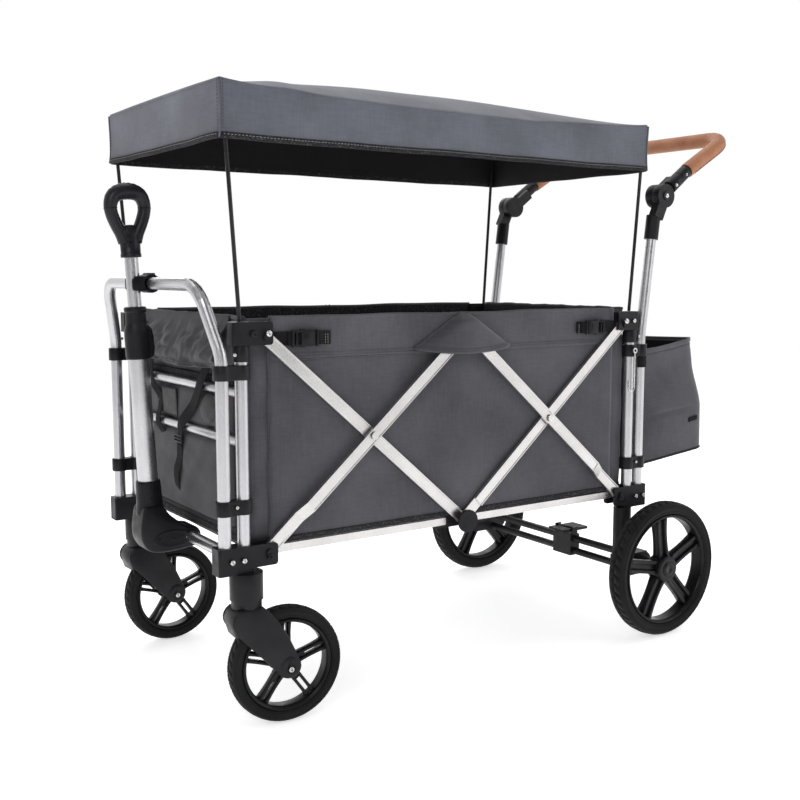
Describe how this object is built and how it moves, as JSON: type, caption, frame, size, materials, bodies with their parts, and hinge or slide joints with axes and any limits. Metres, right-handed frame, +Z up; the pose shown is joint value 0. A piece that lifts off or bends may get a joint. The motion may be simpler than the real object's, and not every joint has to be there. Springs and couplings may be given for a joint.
{
  "type": "folding kids wagon",
  "caption": "Folding four-wheel wagon for children with a cloth tub, canopy on rods, pull handle, push handle, swivel front casters and scissor side frames.",
  "frame": {"origin": "on the ground, below the centre of the whole wagon's box", "axes": "+X from the pull handle to the push handle, +Y to the right of a person pushing towards -X, +Z up"},
  "size_m": [1.3617, 0.68, 1.0945],
  "materials": {
    "aluminium": "satin anodised, lightly speckled",
    "steel_wire": "bright zinc",
    "black_rod": "satin black powder coat",
    "black_plastic": "fine moulded grain",
    "rim_plastic": "satin black moulding",
    "tyre_rubber": "matte grooved rubber",
    "grip_leather": "tan leather look with a stitched seam",
    "body_cloth": "dark grey woven oxford cloth",
    "canopy_cloth": "mid grey woven oxford cloth"
  },
  "bodies": {
    "front_frame": {"front_arch": "aluminium", "front_posts": "aluminium", "front_clips": "black_plastic", "front_brackets": "black_plastic", "front_rungs": "aluminium", "caster_housings": "black_plastic", "handle_catch": "black_plastic"},
    "front_caster_left": {"caster_fork_left": "black_plastic"},
    "front_caster_right": {"caster_fork_right": "black_plastic"},
    "front_wheel_left": {"front_rim_left": "rim_plastic", "front_tyre_left": "tyre_rubber"},
    "front_wheel_right": {"front_rim_right": "rim_plastic", "front_tyre_right": "tyre_rubber"},
    "bars_b": {"scissor_bars_b": "aluminium", "front_rivets": "aluminium", "top_knuckles": "black_plastic"},
    "bars_a": {"scissor_bars_a": "aluminium"},
    "bars_c": {"scissor_bars_c": "aluminium", "rear_rivets": "aluminium"},
    "bars_d": {"scissor_bars_d": "aluminium"},
    "mid_joint": {"mid_knuckles": "black_plastic", "mid_cross_tube": "aluminium"},
    "front_floor": {"floor_rails_front": "aluminium", "floor_board_front": "body_cloth"},
    "rear_floor": {"floor_rails_rear": "aluminium", "floor_board_rear": "body_cloth"},
    "front_top": {"front_top_brackets": "black_plastic", "front_inner_posts": "aluminium", "front_hoop": "black_rod", "canopy_cover": "canopy_cloth", "side_wall_left": "body_cloth", "side_wall_right": "body_cloth", "front_wall": "body_cloth"},
    "rear_top": {"rear_top_brackets": "black_plastic", "rear_inner_posts": "aluminium", "rear_hoop": "black_rod", "rear_wall": "body_cloth"},
    "rear_frame": {"rear_posts": "aluminium", "rear_clips": "black_plastic", "rear_brackets": "black_plastic", "rear_axle_frame": "black_rod", "push_tubes": "aluminium", "push_joints_lower": "black_plastic", "rear_bag": "body_cloth"},
    "hook": {"fold_hook": "steel_wire"},
    "rear_wheel_left": {"rear_rim_left": "rim_plastic", "rear_tyre_left": "tyre_rubber"},
    "rear_wheel_right": {"rear_rim_right": "rim_plastic", "rear_tyre_right": "tyre_rubber"},
    "brake": {"brake_pedal": "black_plastic"},
    "push_handle": {"push_joints_upper": "black_plastic", "push_bar": "aluminium", "push_grip": "grip_leather"},
    "button_left": {"push_button_left": "black_plastic"},
    "button_right": {"push_button_right": "black_plastic"},
    "pull_arm": {"pull_base": "black_plastic", "pull_outer_tube": "aluminium", "pull_collar": "black_plastic"},
    "pull_extension": {"pull_inner_tube": "aluminium", "pull_grip": "black_plastic"}
  },
  "joints": [
    {"name": "fold", "type": "hinge", "parent": "front_frame", "child": "bars_b", "pos_m": [-0.49975, 0, 0.304], "axis": [0, -1, 0], "range_deg": [0, 34], "deforming": ["side_wall_left", "side_wall_right", "canopy_cover"]},
    {"name": "bars_a_pivot", "type": "hinge", "parent": "bars_b", "child": "bars_a", "pos_m": [-0.29025, 0, 0.487], "axis": [0, -1, 0], "range_deg": [-68, 0]},
    {"name": "front_top_pivot", "type": "hinge", "parent": "bars_a", "child": "front_top", "pos_m": [-0.49975, 0, 0.67], "axis": [0, -1, 0], "range_deg": [0, 34]},
    {"name": "mid_joint_pivot", "type": "hinge", "parent": "bars_a", "child": "mid_joint", "pos_m": [-0.08075, 0, 0.304], "axis": [0, -1, 0], "range_deg": [0, 34]},
    {"name": "bars_c_pivot", "type": "hinge", "parent": "bars_b", "child": "bars_c", "pos_m": [-0.08075, 0, 0.67], "axis": [0, -1, 0], "range_deg": [-68, 0]},
    {"name": "rear_frame_pivot", "type": "hinge", "parent": "bars_c", "child": "rear_frame", "pos_m": [0.33825, 0, 0.304], "axis": [0, -1, 0], "range_deg": [0, 34]},
    {"name": "bars_d_pivot", "type": "hinge", "parent": "bars_c", "child": "bars_d", "pos_m": [0.12875, 0, 0.487], "axis": [0, -1, 0], "range_deg": [0, 68]},
    {"name": "rear_top_pivot", "type": "hinge", "parent": "bars_d", "child": "rear_top", "pos_m": [0.33825, 0, 0.67], "axis": [0, -1, 0], "range_deg": [-34, 0]},
    {"name": "front_floor_pivot", "type": "hinge", "parent": "front_frame", "child": "front_floor", "pos_m": [-0.49975, 0, 0.304], "axis": [0, -1, 0], "range_deg": [0, 88.4]},
    {"name": "rear_floor_pivot", "type": "hinge", "parent": "rear_frame", "child": "rear_floor", "pos_m": [0.33825, 0, 0.304], "axis": [0, 1, 0], "range_deg": [0, 88.4]},
    {"name": "front_caster_left_swivel", "type": "hinge", "parent": "front_frame", "child": "front_caster_left", "pos_m": [-0.53775, -0.252, 0.23], "axis": [0, 0, 1], "continuous": true},
    {"name": "front_wheel_left_spin", "type": "hinge", "parent": "front_caster_left", "child": "front_wheel_left", "pos_m": [-0.47012, -0.25911, 0.1025], "axis": [0.1045, 0.9945, 0], "continuous": true},
    {"name": "rear_wheel_left_spin", "type": "hinge", "parent": "rear_frame", "child": "rear_wheel_left", "pos_m": [0.41225, -0.319, 0.145], "axis": [0, 1, 0], "continuous": true},
    {"name": "front_caster_right_swivel", "type": "hinge", "parent": "front_frame", "child": "front_caster_right", "pos_m": [-0.53775, 0.252, 0.23], "axis": [0, 0, 1], "continuous": true},
    {"name": "front_wheel_right_spin", "type": "hinge", "parent": "front_caster_right", "child": "front_wheel_right", "pos_m": [-0.46984, 0.25556, 0.1025], "axis": [-0.0523, 0.9986, 0], "continuous": true},
    {"name": "rear_wheel_right_spin", "type": "hinge", "parent": "rear_frame", "child": "rear_wheel_right", "pos_m": [0.41225, 0.319, 0.145], "axis": [0, 1, 0], "continuous": true},
    {"name": "brake_pedal_tilt", "type": "hinge", "parent": "rear_frame", "child": "brake", "pos_m": [0.39725, -0.034, 0.178], "axis": [0, 1, 0], "range_deg": [0, 14]},
    {"name": "hook_swing", "type": "hinge", "parent": "rear_frame", "child": "hook", "pos_m": [0.36625, -0.269, 0.613], "axis": [0, -1, 0], "range_deg": [-75, 75]},
    {"name": "push_handle_tilt", "type": "hinge", "parent": "rear_frame", "child": "push_handle", "pos_m": [0.45225, 0, 0.941], "axis": [0, 1, 0], "range_deg": [-60, 95]},
    {"name": "push_button_left_press", "type": "slide", "parent": "rear_frame", "child": "button_left", "axis": [0, 1, 0], "range_m": [0, 0.003], "stiffness_N_per_m": 800},
    {"name": "push_button_right_press", "type": "slide", "parent": "rear_frame", "child": "button_right", "axis": [0, -1, 0], "range_m": [0, 0.003], "stiffness_N_per_m": 800},
    {"name": "pull_handle_tilt", "type": "hinge", "parent": "front_frame", "child": "pull_arm", "pos_m": [-0.54075, 0, 0.289], "axis": [0, -1, 0], "range_deg": [0, 90]},
    {"name": "pull_handle_extend", "type": "slide", "parent": "pull_arm", "child": "pull_extension", "axis": [-0.0489, 0, 0.9988], "range_m": [0, 0.23]}
  ],
  "couplings": [
    {"joint": "bars_a_pivot", "follows": "fold", "ratio": -2},
    {"joint": "front_top_pivot", "follows": "fold", "ratio": 1},
    {"joint": "mid_joint_pivot", "follows": "fold", "ratio": 1},
    {"joint": "bars_c_pivot", "follows": "fold", "ratio": -2},
    {"joint": "rear_frame_pivot", "follows": "fold", "ratio": 1},
    {"joint": "bars_d_pivot", "follows": "fold", "ratio": 2},
    {"joint": "rear_top_pivot", "follows": "fold", "ratio": -1},
    {"joint": "front_floor_pivot", "follows": "fold", "ratio": 2.6},
    {"joint": "rear_floor_pivot", "follows": "fold", "ratio": 2.6}
  ]
}
